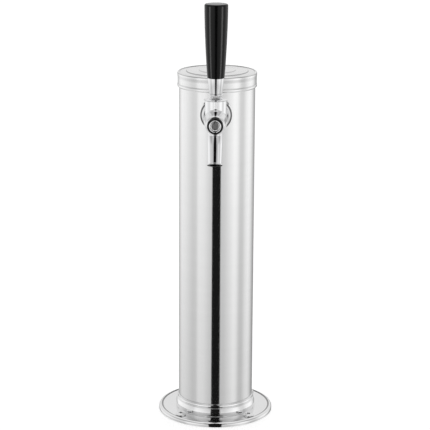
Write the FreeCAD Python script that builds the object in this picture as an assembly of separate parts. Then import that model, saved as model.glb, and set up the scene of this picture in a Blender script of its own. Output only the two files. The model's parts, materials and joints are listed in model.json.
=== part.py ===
import FreeCAD, Part
import math
import os

# A single-tap beer tower, in millimetres.
# The origin is on the column axis at the counter, Z is up and the tap faces -Y.

# Column and its foot
COLUMN_LENGTH = 350.5
COLUMN_OD = 76.2
COLUMN_WALL = 1.2
FLANGE_BRIM = 20.65
FLANGE_HEIGHT = 4.8
FLANGE_WALL = 2.2
FLANGE_LEDGE = 4.9
FLANGE_FLARE = 0.6
FLANGE_FLARE_ROUND = 0.8
RIM_WIDTH = 3.0
RIM_STEP = 0.5
RIM_ROUND = 2.6
RIM_STEP_ROUND = 0.3
RIM_FOOT_ROUND = 0.4
GASKET_INSET = 6.0
GASKET_PLAY = 1.5
SCREW_STANDOFF = 11.1
SCREW_COUNT = 4
SCREW_FIRST_PLACE = 45.0
SCREW_FIRST_TURN = 20.0
SCREW_TURN_STEP = 37.0
SCREW_SHANK = 4.8
SCREW_PLAY = 0.35
SCREW_HEAD = 11.0
SCREW_HEAD_HEIGHT = 2.3
SCREW_HEAD_ROUND = 0.2
SCREW_SHOULDER = 1.0
SCREW_SHOULDER_ROUND = 0.7
SCREW_CROWN = 5.5
SCREW_CROWN_ROUND = 1.2
SCREW_TIP_HEIGHT = 0.6
SCREW_TIP_BEVEL = 0.8
CROSS_LENGTH = 5.2
CROSS_WIDTH = 1.2
CROSS_DEPTH = 1.3
COLLAR_HEIGHT = 13.1
COLLAR_FLARE = 3.1
LIP_UNDERCUT = 0.7
LIP_EDGE = 1.3
LIP_ROUND = 0.5
LIP_CREST = 2.3
LIP_SLOPE = 0.25
COVE_HEIGHT = 6.5
COVE_WALL = 1.15
COVE_ROUND = 6.0
GROOVE_WALL = 0.75
GROOVE_ROUND = 0.5
BEAD_DROP = 3.6
BEAD_HALF = 0.7
BEAD_WALL = 1.25
BEAD_ROUND = 0.4
TOP_GROOVE_DROP = 1.6
TOP_GROOVE_WALL = 0.6
TOP_BEAD_DROP = 0.8
TOP_BEAD_WALL = 1.0
TOP_EDGE_WALL = 0.35
TOP_EDGE_ROUND = 0.3
FOAM_WALL = 9.0
FOAM_DROP = 47.6

# Cap on the column
CAP_SKIRT = 15.3
CAP_WALL = 1.15
CAP_CROWN = 1.45
CAP_HEM = 3.2
CAP_HEM_PROUD = 0.45
CAP_HEM_LIP = 0.6
CAP_HEM_TURN = 0.9
CAP_HEM_ROUND = 0.6
CAP_HEM_SLOPE = 1.5
CAP_WAIST = 0.1
CAP_WAIST_ROUND = 1.2
CAP_BROW = 3.4
CAP_BROW_SLOPE = 1.2
CAP_BROW_ROUND = 0.8
CAP_EDGE_ROUND = 1.7
CAP_STEP_HEIGHT = 0.8
CAP_STEP_SLOPE = 0.8
CAP_STEP_FOOT_ROUND = 0.8
CAP_STEP_ROUND = 0.6
CAP_SHOULDER = 9.4
CAP_TREAD = 12.6

# Shank through the column wall
TAP_DROP = 32.9
THREAD_OD = 22.9
HOLE_PLAY = 0.35
SHANK_FLANGE = 2.4
SHANK_FLANGE_ROUND = 0.3
SHANK_FRONT_THREAD = 7.0
SHANK_FRONT_ROUND = 0.6
SHANK_TAIL_ROUND = 0.8
SHANK_BORE = 10.0
SHANK_TAIL = 20.0
SADDLE_THIN = 1.5
SADDLE_SKIRT = 6.0
NUT_ROOM = 0.27
NUT_WALL = 2.55
NUT_CHAMFER = 0.9
JAM_NUT = 6.0
TAIL_NUT = 12.0
TAIL_NUT_FLOOR = 2.2
WASHER = 1.6
WASHER_INSET = 2.0
ELBOW_FLANGE = 2.4
ELBOW_OD = 12.0
ELBOW_BORE = 6.4
ELBOW_REACH = 15.0
ELBOW_DROP = 8.0
BARB_OD = 9.6
BARB_ROOT = 8.0
BARB_COLLAR = 4.0
BARB_PITCH = 4.0
BARB_FLAT = 1.0
BARB_COUNT = 4

# Coupling nut
COUPLING_WALL = 4.05
COUPLING_LENGTH = 12.05
COUPLING_FLOOR = 1.6
COUPLING_RECESS = 2.2
COUPLING_RECESS_DEPTH = 0.6
COUPLING_RECESS_ROUND = 0.25
COUPLING_ROUND = 0.9
COUPLING_REAR_ROUND = 0.4
COUPLING_INSET = 0.3
SPANNER_SLOTS = 4
SPANNER_FIRST_PLACE = 45.0
SPANNER_SLOT_WIDTH = 4.0
SPANNER_SLOT_DEPTH = 1.4
SPANNER_SLOT_END = 4.0

# Shaft that slides in the tap, with its guide and seat
SHAFT_DIA = 9.0
SHAFT_STUB = 5.0
SHAFT_REAR_ROUND = 0.4
SHAFT_TIP_ROUND = 0.3
NOSE_OD = 11.8
NOSE_BORE = 7.1
NOSE_BORE_ROUND = 0.3
NOSE_TIP_ROUND = 1.3
NOSE_REAR_ROUND = 0.4
NOSE_LENGTH = 14.0
NOSE_RECESS = 1.0
NOSE_SET_BACK = 0.3
GUIDE_SPIGOT = 6.5
GUIDE_SPIGOT_WALL = 1.2
GUIDE_HEAD = 2.4
GUIDE_HEAD_WALL = 1.8
GUIDE_ROUND = 0.7
GUIDE_BORE_ROUND = 0.4
SEAT_WASHER = 2.2
SEAT_LAP = 1.1
RETAINER_WALL = 2.1
RETAINER = 2.6
RETAINER_ROUND = 0.5

# Tap body
TAP_COLLAR_ROUND = 0.4
NECK_STRAIGHT = 5.0
NECK_ROUND = 8.0
BARREL_FRONT = 51.8
BARREL_FRONT_WALL = 2.2
BARREL_FRONT_STRAIGHT = 6.0
BARREL_FRONT_ROUND = 8.0
BARREL_EDGE_ROUND = 1.6
BORE_ROOM = 0.6
BULGE_MARGIN = 0.9
BULGE_REAR = 7.0
BULGE_REAR_ROUND = 12.0
BULGE_FRONT = 8.0
BULGE_FRONT_ROUND = 14.0
CHAMBER_ROOM = 0.8
CHAMBER_END_ROOM = 1.3
CHAMBER_WALL = 1.2
BOSS_WALL = 1.9
BOSS_BLEND = 1.6
SPOUT_BLEND = 1.6
SPOUT_ROOT = 33.8
SPOUT_ROOT_TILT = 42.0
SPOUT_TIP_TILT = 23.0
SPOUT_BEND_RADIUS = 30.0
SPOUT_BEND_STEPS = 4
SPOUT_UPPER = 15.0
SPOUT_LOWER = 19.1
SPOUT_BORE = 9.6
SPOUT_ROOT_WALL = 3.1
SPOUT_TIP_WALL = 1.65
SPOUT_LIP_PROUD = 0.9
SPOUT_LIP = 1.5

# Lever, its ball and the bonnet
LEVER_FORWARD = 22.8
PULL_ANGLE = 22.0
BALL_RISE = 16.5
BALL_DIA = 12.0
BALL_ROOM = 1.0
BALL_CUP = 3.0
BALL_CUP_DROP = 1.4
BALL_HOLE = 1.0
FRICTION_LOW = 1.0
FRICTION_HIGH = 3.2
BOSS_TOP = 2.9
BONNET_OVERHANG = 1.0
BONNET_FOOT_ROUND = 0.3
BONNET_EDGE = 0.6
BONNET_EDGE_ROUND = 0.5
BONNET_BROW = 2.0
BONNET_BROW_DROP = 0.6
BONNET_BROW_ROUND = 3.0
BONNET_TOP_INSET = 4.5
BONNET_MOUTH_FLARE = 0.1
BONNET_MOUTH_ROUND = 0.3
BONNET_RISE = 2.15
BONNET_SPIGOT = 3.6
BONNET_SPIGOT_WALL = 1.4
LEVER_STEM = 6.4
LEVER_THREAD = 9.5
LEVER_STUD = 23.3
LEVER_TIP_ROUND = 0.8
LEVER_COLLAR_OD = 15.2
LEVER_COLLAR = 1.8
LEVER_COLLAR_BEVEL = 0.5
LEVER_COLLAR_FOOT_ROUND = 0.2
LEVER_COLLAR_EDGE_ROUND = 0.6
LEVER_COLLAR_GAP = 0.24
TONGUE_DIA = 3.8
TONGUE_BALL = 5.0
TONGUE_REACH = 15.0
POCKET_PLAY = 0.4
POCKET_ROOM = 0.8
TONGUE_PLAY = 0.5

# Handle
HANDLE_LENGTH = 70.4
HANDLE_TOP_OD = 22.6
HANDLE_MIDDLE_OD = 20.2
HANDLE_MIDDLE_RISE = 27.0
HANDLE_FOOT_OD = 16.5
HANDLE_ROUND = 1.5
FERRULE_LENGTH = 15.0
FERRULE_TOP_OD = 15.9
FERRULE_WALL = 0.7
FERRULE_ROUND = 0.3
INSERT_WALL = 0.7
INSERT_BITE = 13.0
INSERT_END_ROOM = 0.5

# Clearances
FIT = 0.05
SLIP = 0.15
BALL_GAP = 0.1
SEAT_GAP = 0.1

# How far a cutter runs past the face that it opens
OVER = 1.0

# Heights and radii of the tower
PLATE_TOP = FLANGE_HEIGHT - RIM_STEP
PLATE_UNDERSIDE = PLATE_TOP - FLANGE_WALL
COLUMN_R = COLUMN_OD / 2
COLUMN_BORE_R = COLUMN_R - COLUMN_WALL
FLANGE_R = COLUMN_R + FLANGE_BRIM
FLANGE_BORE_R = COLUMN_BORE_R - FLANGE_LEDGE
SCREW_CIRCLE_R = COLUMN_R + SCREW_STANDOFF
SCREW_HOLE = SCREW_SHANK + 2 * SCREW_PLAY
COLUMN_TOP = PLATE_TOP + COLUMN_LENGTH
AXIS_Z = COLUMN_TOP - TAP_DROP

# Places along the shank axis, forward of the column's axis
NUT_FLATS = THREAD_OD + 2 * NUT_WALL
COUPLING_OD = THREAD_OD + 2 * COUPLING_WALL
SHANK_FLANGE_OD = COUPLING_OD - 2 * COUPLING_INSET
SADDLE_FACE = COLUMN_R + SADDLE_THIN
NUT_CORNER_R = NUT_FLATS / math.sqrt(3)
INNER_SEAT = math.sqrt(COLUMN_BORE_R ** 2 - NUT_CORNER_R ** 2) - NUT_ROOM
SHANK_END = INNER_SEAT - SHANK_TAIL
SHANK_SHOULDER = SADDLE_FACE + SHANK_FLANGE
SHANK_FACE = SHANK_SHOULDER + SHANK_FRONT_THREAD
COUPLING_REAR = SHANK_SHOULDER + SLIP
COUPLING_FRONT = COUPLING_REAR + COUPLING_LENGTH
COUPLING_FLOOR_TOP = COUPLING_FRONT - COUPLING_RECESS_DEPTH
TAP_COLLAR_FRONT = COUPLING_FLOOR_TOP - COUPLING_FLOOR
TAP_REAR = SHANK_FACE + WASHER
SHAFT_TRAVEL = TONGUE_REACH * math.sin(math.radians(PULL_ANGLE))
SEAT_PLANE = TAP_REAR + CHAMBER_END_ROOM + SHAFT_TRAVEL + SEAT_WASHER
WASHER_FRONT = SEAT_PLANE - SEAT_GAP
WASHER_REAR = WASHER_FRONT - SEAT_WASHER
BARREL_END = COUPLING_FRONT + BARREL_FRONT
NOSE_TIP = BARREL_END + GUIDE_HEAD - NOSE_SET_BACK
LEVER_Y = COUPLING_FRONT + LEVER_FORWARD

# Diameters that follow from what fits inside
BARREL_BORE = NOSE_OD + 2 * BORE_ROOM
SEAT_WASHER_OD = BARREL_BORE + 2 * SEAT_LAP
CHAMBER_DIA = SEAT_WASHER_OD + 2 * CHAMBER_ROOM
BARREL_NECK = CHAMBER_DIA + 2 * CHAMBER_WALL
GUIDE_SPIGOT_OD = NOSE_OD + 2 * GUIDE_SPIGOT_WALL
GUIDE_OD = NOSE_OD + 2 * GUIDE_HEAD_WALL
BARREL_FRONT_OD = GUIDE_SPIGOT_OD + 2 * BARREL_FRONT_WALL
BONNET_BORE = BALL_DIA + 2 * BALL_GAP + 2 * BALL_ROOM
BONNET_SPIGOT_OD = BONNET_BORE + 2 * BONNET_SPIGOT_WALL
BOSS_OD = BONNET_SPIGOT_OD + 2 * BOSS_WALL
BARREL_BULGE = BOSS_OD + 2 * BULGE_MARGIN
BONNET_OD = BOSS_OD + 2 * BONNET_OVERHANG
TONGUE_HOLE = BALL_DIA - 2 * BALL_HOLE
INSERT_OD = LEVER_THREAD + 2 * FIT + 2 * INSERT_WALL
FERRULE_BORE = INSERT_OD + 2 * FIT

# Heights at the lever
BALL_Z = AXIS_Z + BALL_RISE
CUP_SEAT = BALL_Z - BALL_DIA / 2 + BALL_CUP_DROP
BOSS_FACE = BALL_Z + BOSS_TOP
BONNET_TOP = BOSS_FACE + BONNET_RISE
BROW_R = BONNET_OD / 2 - BONNET_TOP_INSET + BONNET_BROW
BROW_RISE = BOSS_TOP + BONNET_RISE - BONNET_BROW_DROP
FULL_PULL = math.radians(PULL_ANGLE)
BROW_REACH = BROW_R * math.sin(FULL_PULL) + BROW_RISE * math.cos(FULL_PULL)
COLLAR_FOOT = BALL_Z + BROW_REACH + LEVER_COLLAR_GAP
HANDLE_FOOT = COLLAR_FOOT + LEVER_COLLAR
GRIP_FOOT = HANDLE_FOOT + FERRULE_LENGTH
STUD_TOP = COLLAR_FOOT + LEVER_STUD


def outline_face(points):
    """Flat face of (radius, height) points; a third number rounds that corner."""
    corners = [FreeCAD.Vector(point[0], 0, point[1]) for point in points]
    count = len(corners)
    spans = []
    for index, corner in enumerate(corners):
        size = points[index][2] if len(points[index]) > 2 else 0
        back = (corners[index - 1] - corner).normalize()
        ahead = (corners[(index + 1) % count] - corner).normalize()
        half = back.getAngle(ahead) / 2
        reach = size / math.tan(half)
        inward = (back + ahead).normalize() if size else back
        middle = corner + inward * (size / math.sin(half) - size)
        spans.append((corner + back * reach, middle, corner + ahead * reach, size))
    edges = []
    for index, (start, middle, end, size) in enumerate(spans):
        if size:
            edges.append(Part.Arc(start, middle, end).toShape())
        following = spans[(index + 1) % count][0]
        if (following - end).Length > 1e-6:
            edges.append(Part.LineSegment(end, following).toShape())
    return Part.Face(Part.Wire(edges))


def turned(points):
    """Body turned about Z from a closed outline of (radius, height) points."""
    body = outline_face(points).revolve(FreeCAD.Vector(0, 0, 0), FreeCAD.Vector(0, 0, 1), 360)
    if body.Volume < 0:
        body.reverse()
    return body


def rod(diameter, low, high):
    """Upright round bar between two heights."""
    return Part.makeCylinder(diameter / 2, high - low, FreeCAD.Vector(0, 0, low))


def tube(outer, inner, low, high):
    """Upright pipe between two heights, by its two diameters."""
    return turned([(inner / 2, low), (outer / 2, low), (outer / 2, high), (inner / 2, high)])


def hexagon(flats, low, high):
    """Upright six-sided bar by its width across the flats."""
    corner = flats / math.sqrt(3)
    turns = [math.radians(30 + 60 * side) for side in range(7)]
    rim = [FreeCAD.Vector(corner * math.cos(t), corner * math.sin(t), low) for t in turns]
    return Part.Face(Part.makePolygon(rim)).extrude(FreeCAD.Vector(0, 0, high - low))


def along_shank(shape):
    """Turn a body built upright so that its Z runs forward along the shank axis."""
    shape.rotate(FreeCAD.Vector(0, 0, 0), FreeCAD.Vector(1, 0, 0), 90)
    shape.translate(FreeCAD.Vector(0, 0, AXIS_Z))
    return shape


def at_lever(shape):
    """Move a body built on the Z axis to the lever's upright axis."""
    shape.translate(FreeCAD.Vector(0, -LEVER_Y, 0))
    return shape


def slot(width, length, low, high):
    """Upright bar with a long round-ended outline, its length along Y."""
    straight = length - width
    middle = Part.makeBox(width, straight, high - low)
    middle.translate(FreeCAD.Vector(-width / 2, -straight / 2, low))
    ends = [rod(width, low, high), rod(width, low, high)]
    ends[0].translate(FreeCAD.Vector(0, straight / 2, 0))
    ends[1].translate(FreeCAD.Vector(0, -straight / 2, 0))
    return middle.fuse(ends)


def screw_places():
    """Centres of the mounting screws on the flange's bolt circle."""
    places = []
    for index in range(SCREW_COUNT):
        turn = math.radians(SCREW_FIRST_PLACE + 360 * index / SCREW_COUNT)
        places.append((SCREW_CIRCLE_R * math.cos(turn), SCREW_CIRCLE_R * math.sin(turn)))
    return places


def screw_holes(body):
    """Drill the mounting holes through a flat ring."""
    for x, y in screw_places():
        hole = rod(SCREW_HOLE, -OVER, FLANGE_HEIGHT + OVER)
        hole.translate(FreeCAD.Vector(x, y, 0))
        body = body.cut(hole)
    return body


def base_flange():
    """Spun flange: flat plate with a raised, rolled rim, hollow underneath."""
    step = FLANGE_R - RIM_WIDTH
    inside = FLANGE_R - FLANGE_WALL
    body = turned([
        (FLANGE_BORE_R, 0),
        (FLANGE_BORE_R + FLANGE_WALL, 0),
        (FLANGE_BORE_R + FLANGE_WALL, PLATE_UNDERSIDE),
        (inside - FLANGE_FLARE, PLATE_UNDERSIDE, FLANGE_FLARE_ROUND),
        (inside, 0),
        (FLANGE_R, 0, RIM_FOOT_ROUND),
        (FLANGE_R, FLANGE_HEIGHT, RIM_ROUND),
        (step, FLANGE_HEIGHT, RIM_STEP_ROUND),
        (step, PLATE_TOP),
        (FLANGE_BORE_R, PLATE_TOP),
    ])
    return screw_holes(body)


def base_gasket():
    """Rubber ring that fills the hollow under the flange, flush with its rim."""
    inner = FLANGE_BORE_R + FLANGE_WALL + GASKET_INSET
    outer = FLANGE_R - FLANGE_WALL - GASKET_PLAY
    return screw_holes(tube(2 * outer, 2 * inner, 0, PLATE_UNDERSIDE))


def mounting_screw():
    """Pan-head cross-recess screw, seated on the plate."""
    top = PLATE_TOP + SCREW_HEAD_HEIGHT
    screw = turned([
        (0, SCREW_TIP_HEIGHT),
        (SCREW_SHANK / 2 - SCREW_TIP_BEVEL, SCREW_TIP_HEIGHT),
        (SCREW_SHANK / 2, SCREW_TIP_HEIGHT + SCREW_TIP_BEVEL),
        (SCREW_SHANK / 2, PLATE_TOP),
        (SCREW_HEAD / 2, PLATE_TOP, SCREW_HEAD_ROUND),
        (SCREW_HEAD / 2, top - SCREW_SHOULDER, SCREW_SHOULDER_ROUND),
        (SCREW_CROWN / 2, top, SCREW_CROWN_ROUND),
        (0, top),
    ])
    for turn in (0, 90):
        arm = Part.makeBox(CROSS_LENGTH, CROSS_WIDTH, CROSS_DEPTH + OVER)
        arm.translate(FreeCAD.Vector(-CROSS_LENGTH / 2, -CROSS_WIDTH / 2, top - CROSS_DEPTH))
        arm.rotate(FreeCAD.Vector(0, 0, 0), FreeCAD.Vector(0, 0, 1), turn)
        screw = screw.cut(arm)
    return screw


def mounting_screws():
    """The mounting screws in their holes, each turned a little differently."""
    screws = []
    for index, (x, y) in enumerate(screw_places()):
        screw = mounting_screw()
        turn = SCREW_FIRST_TURN + SCREW_TURN_STEP * index
        screw.rotate(FreeCAD.Vector(0, 0, 0), FreeCAD.Vector(0, 0, 1), turn)
        screw.translate(FreeCAD.Vector(x, y, 0))
        screws.append(screw)
    return Part.makeCompound(screws)


def foot_collar():
    """Polished collar round the column's foot, flared to a lip on the plate."""
    inner = COLUMN_R + SLIP
    lip = COLUMN_R + COLLAR_FLARE
    top = PLATE_TOP + COLLAR_HEIGHT
    return turned([
        (inner, PLATE_TOP),
        (lip - LIP_UNDERCUT, PLATE_TOP),
        (lip, PLATE_TOP + LIP_EDGE, LIP_ROUND),
        (lip - LIP_SLOPE, PLATE_TOP + LIP_CREST, LIP_ROUND),
        (inner + COVE_WALL, PLATE_TOP + COVE_HEIGHT, COVE_ROUND),
        (inner + GROOVE_WALL, top - BEAD_DROP - BEAD_HALF, GROOVE_ROUND),
        (inner + BEAD_WALL, top - BEAD_DROP, BEAD_ROUND),
        (inner + GROOVE_WALL, top - BEAD_DROP + BEAD_HALF, BEAD_ROUND),
        (inner + TOP_GROOVE_WALL, top - TOP_GROOVE_DROP, GROOVE_ROUND),
        (inner + TOP_BEAD_WALL, top - TOP_BEAD_DROP, BEAD_ROUND),
        (inner + TOP_EDGE_WALL, top, TOP_EDGE_ROUND),
        (inner, top),
    ])


def column_tube():
    """Straight stainless tube with the shank hole in its front wall."""
    body = tube(COLUMN_OD, 2 * COLUMN_BORE_R, PLATE_TOP, COLUMN_TOP)
    hole = along_shank(rod(THREAD_OD + 2 * HOLE_PLAY, 0, COLUMN_OD))
    return body.cut(hole)


def insulation_sleeve():
    """Foam tube inside the column, round the room for the beer line."""
    outer = 2 * (COLUMN_BORE_R - 2 * SLIP)
    return tube(outer, outer - 2 * FOAM_WALL, PLATE_TOP, AXIS_Z - FOAM_DROP)


def top_cap():
    """Slip-on cap: hemmed skirt, rounded edge and two raised discs on top."""
    inner = COLUMN_R + SLIP
    outer = inner + CAP_WALL
    under = COLUMN_TOP + SEAT_GAP
    top = under + CAP_CROWN
    foot = top - CAP_SKIRT
    proud = outer + CAP_HEM_PROUD
    waist = outer - CAP_WAIST
    step = top + CAP_STEP_HEIGHT
    crown = step + CAP_STEP_HEIGHT
    lower = proud - CAP_SHOULDER
    upper = lower - CAP_TREAD
    return turned([
        (0, under),
        (inner, under),
        (inner, foot),
        (inner + CAP_HEM_LIP, foot),
        (proud, foot + CAP_HEM_TURN, CAP_HEM_ROUND),
        (proud, foot + CAP_HEM, CAP_BROW_ROUND),
        (waist, foot + CAP_HEM + CAP_HEM_SLOPE, CAP_WAIST_ROUND),
        (waist, top - CAP_BROW - CAP_BROW_SLOPE, CAP_WAIST_ROUND),
        (proud, top - CAP_BROW, CAP_BROW_ROUND),
        (proud, top, CAP_EDGE_ROUND),
        (lower + CAP_STEP_SLOPE, top, CAP_STEP_FOOT_ROUND),
        (lower, step, CAP_STEP_ROUND),
        (upper + CAP_STEP_SLOPE, step, CAP_STEP_FOOT_ROUND),
        (upper, crown, CAP_STEP_ROUND),
        (0, crown),
    ])


def outer_saddle():
    """Outer seat of the shank: flat in front, hollowed behind to the column."""
    body = tube(SHANK_FLANGE_OD, THREAD_OD + 2 * SLIP, COLUMN_R - SADDLE_SKIRT, SADDLE_FACE)
    body = along_shank(body)
    return body.cut(rod(COLUMN_OD, 0, COLUMN_TOP + TAP_DROP))


def inner_saddle():
    """Inner seat washer: rounded in front to the column's bore, flat behind."""
    body = along_shank(tube(SHANK_FLANGE_OD, THREAD_OD + 2 * SLIP, INNER_SEAT, COLUMN_R))
    return body.common(rod(2 * COLUMN_BORE_R, 0, COLUMN_TOP + TAP_DROP))


def shank_body():
    """Threaded shank with its outer flange and a through bore."""
    return along_shank(turned([
        (SHANK_BORE / 2, SHANK_END),
        (THREAD_OD / 2, SHANK_END, SHANK_TAIL_ROUND),
        (THREAD_OD / 2, SADDLE_FACE),
        (SHANK_FLANGE_OD / 2, SADDLE_FACE, SHANK_FLANGE_ROUND),
        (SHANK_FLANGE_OD / 2, SHANK_SHOULDER, SHANK_FLANGE_ROUND),
        (THREAD_OD / 2, SHANK_SHOULDER),
        (THREAD_OD / 2, SHANK_FACE, SHANK_FRONT_ROUND),
        (SHANK_BORE / 2, SHANK_FACE),
    ]))


def threaded_nut(low, high, floor, floor_bore):
    """Hexagon nut on the shank's thread, with turned-down corners and a floor."""
    body = hexagon(NUT_FLATS, low, high).common(turned([
        (0, low),
        (NUT_CORNER_R - NUT_CHAMFER, low),
        (NUT_CORNER_R, low + NUT_CHAMFER),
        (NUT_CORNER_R, high - NUT_CHAMFER),
        (NUT_CORNER_R - NUT_CHAMFER, high),
        (0, high),
    ]))
    body = body.cut(rod(THREAD_OD + 2 * FIT, low + floor, high + OVER))
    return body.cut(rod(floor_bore, low - OVER, high + OVER))


def shank_jam_nut():
    """Hexagon nut that clamps the shank to the column wall from inside."""
    return along_shank(threaded_nut(INNER_SEAT - JAM_NUT, INNER_SEAT, 0, SHANK_BORE))


def tail_washer():
    """Rubber washer between the shank's rear face and the elbow."""
    outer = THREAD_OD - 2 * WASHER_INSET
    return along_shank(tube(outer, SHANK_BORE, SHANK_END - WASHER, SHANK_END))


def tail_nut():
    """Hexagon nut that draws the elbow against the shank."""
    low = SHANK_END - WASHER - ELBOW_FLANGE - TAIL_NUT_FLOOR
    return along_shank(threaded_nut(low, low + TAIL_NUT, TAIL_NUT_FLOOR, ELBOW_OD + 2 * SLIP))


def hose_end(high):
    """Hose barb of saw-tooth rings under a plain collar that starts at a height."""
    points = [(ELBOW_BORE / 2, high), (BARB_OD / 2, high), (BARB_OD / 2, high - BARB_COLLAR)]
    for ring in range(BARB_COUNT):
        root = high - BARB_COLLAR - BARB_PITCH * ring
        points.append((BARB_ROOT / 2, root))
        points.append((BARB_ROOT / 2, root - BARB_FLAT))
        points.append((BARB_OD / 2, root - BARB_FLAT))
    low = high - BARB_COLLAR - BARB_PITCH * BARB_COUNT
    points.append((BARB_ROOT / 2, low))
    points.append((ELBOW_BORE / 2, low))
    return turned(points)


def tail_elbow():
    """Elbow tailpiece: flange in the nut, right-angle bend and a hose barb."""
    face = SHANK_END - WASHER
    bend = face - ELBOW_REACH
    corner = FreeCAD.Vector(0, -bend, AXIS_Z)
    run = along_shank(rod(ELBOW_OD, bend, face))
    flange = along_shank(rod(THREAD_OD - 2 * WASHER_INSET, face - ELBOW_FLANGE, face))
    drop = rod(ELBOW_OD, AXIS_Z - ELBOW_DROP, AXIS_Z)
    hose = hose_end(AXIS_Z - ELBOW_DROP)
    down = rod(ELBOW_BORE, AXIS_Z - ELBOW_DROP - OVER, AXIS_Z)
    for shape in (drop, hose, down):
        shape.translate(FreeCAD.Vector(0, -bend, 0))
    body = run.fuse([flange, drop, hose, Part.makeSphere(ELBOW_OD / 2, corner)])
    across = along_shank(rod(ELBOW_BORE, bend, face + OVER))
    bore = across.fuse([down, Part.makeSphere(ELBOW_BORE / 2, corner)])
    return body.cut(bore).removeSplitter()


def coupling_nut():
    """Round coupling nut with spanner slots, a thread and an inner floor."""
    thread = THREAD_OD / 2 + FIT
    neck = BARREL_NECK / 2 + SLIP
    recess = BARREL_NECK / 2 + COUPLING_RECESS
    body = turned([
        (thread, COUPLING_REAR),
        (COUPLING_OD / 2, COUPLING_REAR, COUPLING_REAR_ROUND),
        (COUPLING_OD / 2, COUPLING_FRONT, COUPLING_ROUND),
        (recess, COUPLING_FRONT, COUPLING_RECESS_ROUND),
        (recess, COUPLING_FLOOR_TOP),
        (neck, COUPLING_FLOOR_TOP),
        (neck, TAP_COLLAR_FRONT),
        (thread, TAP_COLLAR_FRONT),
    ])
    length = COUPLING_LENGTH - SPANNER_SLOT_END + OVER
    inset = COUPLING_OD / 2 - SPANNER_SLOT_DEPTH
    for index in range(SPANNER_SLOTS):
        cutter = Part.makeBox(SPANNER_SLOT_WIDTH, SPANNER_SLOT_DEPTH + OVER, length)
        cutter.translate(FreeCAD.Vector(-SPANNER_SLOT_WIDTH / 2, inset, COUPLING_REAR - OVER))
        turn = SPANNER_FIRST_PLACE + 360 * index / SPANNER_SLOTS
        cutter.rotate(FreeCAD.Vector(0, 0, 0), FreeCAD.Vector(0, 0, 1), turn)
        body = body.cut(cutter)
    return along_shank(body)


def tap_gasket():
    """Rubber gasket between the shank's face and the tap body."""
    outer = THREAD_OD - 2 * SLIP
    return along_shank(tube(outer, CHAMBER_DIA, SHANK_FACE, TAP_REAR))


def spout_heading(tilt):
    """Direction down the spout at a tilt forward from straight down."""
    return FreeCAD.Vector(0, -math.sin(math.radians(tilt)), -math.cos(math.radians(tilt)))


def spout_stations():
    """Centres and headings down the spout: its root, the steps of its bend and its mouth."""
    heading = spout_heading(SPOUT_ROOT_TILT)
    centre = FreeCAD.Vector(0, -(COUPLING_FRONT + SPOUT_ROOT), AXIS_Z)
    stations = [(centre, heading)]
    centre = centre + heading * SPOUT_UPPER
    stations.append((centre, heading))
    turn = (SPOUT_ROOT_TILT - SPOUT_TIP_TILT) / SPOUT_BEND_STEPS
    stride = 2 * SPOUT_BEND_RADIUS * math.sin(math.radians(turn / 2))
    for step in range(SPOUT_BEND_STEPS):
        tilt = SPOUT_ROOT_TILT - turn * (step + 1)
        centre = centre + spout_heading(tilt + turn / 2) * stride
        stations.append((centre, spout_heading(tilt)))
    heading = spout_heading(SPOUT_TIP_TILT)
    stations.append((centre + heading * SPOUT_LOWER, heading))
    return stations


def spout_pipe(root_radius, tip_radius):
    """Solid along the spout that narrows evenly from its root to its mouth."""
    stations = spout_stations()
    travelled = [0]
    for before, after in zip(stations, stations[1:]):
        travelled.append(travelled[-1] + (after[0] - before[0]).Length)
    taper = (tip_radius - root_radius) / travelled[-1]
    radii = [root_radius + taper * distance for distance in travelled]
    rings = []
    for (centre, heading), radius in zip(stations[1:-1], radii[1:-1]):
        rings.append(Part.Wire(Part.Circle(centre, heading, radius).toShape()))
    runs = []
    for first in (0, len(stations) - 2):
        centre, heading = stations[first]
        length = travelled[first + 1] - travelled[first]
        runs.append(tapered_rod(radii[first], radii[first + 1], length, centre, heading))
    return Part.makeLoft(rings, True).fuse(runs)


def tapered_rod(start_radius, end_radius, length, start, heading):
    """Round bar along a heading; the two radii may be the same."""
    if abs(start_radius - end_radius) < 1e-6:
        return Part.makeCylinder(start_radius, length, start, heading)
    return Part.makeCone(start_radius, end_radius, length, start, heading)


def spout_lip():
    """Raised lip at the spout's mouth, with softened edges."""
    mouth, heading = spout_stations()[-1]
    radius = SPOUT_BORE / 2 + SPOUT_TIP_WALL + SPOUT_LIP_PROUD
    lip = Part.makeCylinder(radius, SPOUT_LIP, mouth - heading * SPOUT_LIP, heading)
    rims = [edge for edge in lip.Edges if isinstance(edge.Curve, Part.Circle)]
    return lip.makeFillet(SPOUT_LIP / 3, rims)


def blended(body, first, second, size):
    """Round the line along which two fused shapes meet."""
    seam = []
    for edge in body.Edges:
        middle = edge.valueAt((edge.FirstParameter + edge.LastParameter) / 2)
        probe = Part.Vertex(middle)
        gaps = [shape.Shells[0].distToShape(probe)[0] for shape in (first, second)]
        if max(gaps) < 0.001:
            seam.append(edge)
    return body.makeFillet(size, seam)


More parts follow.
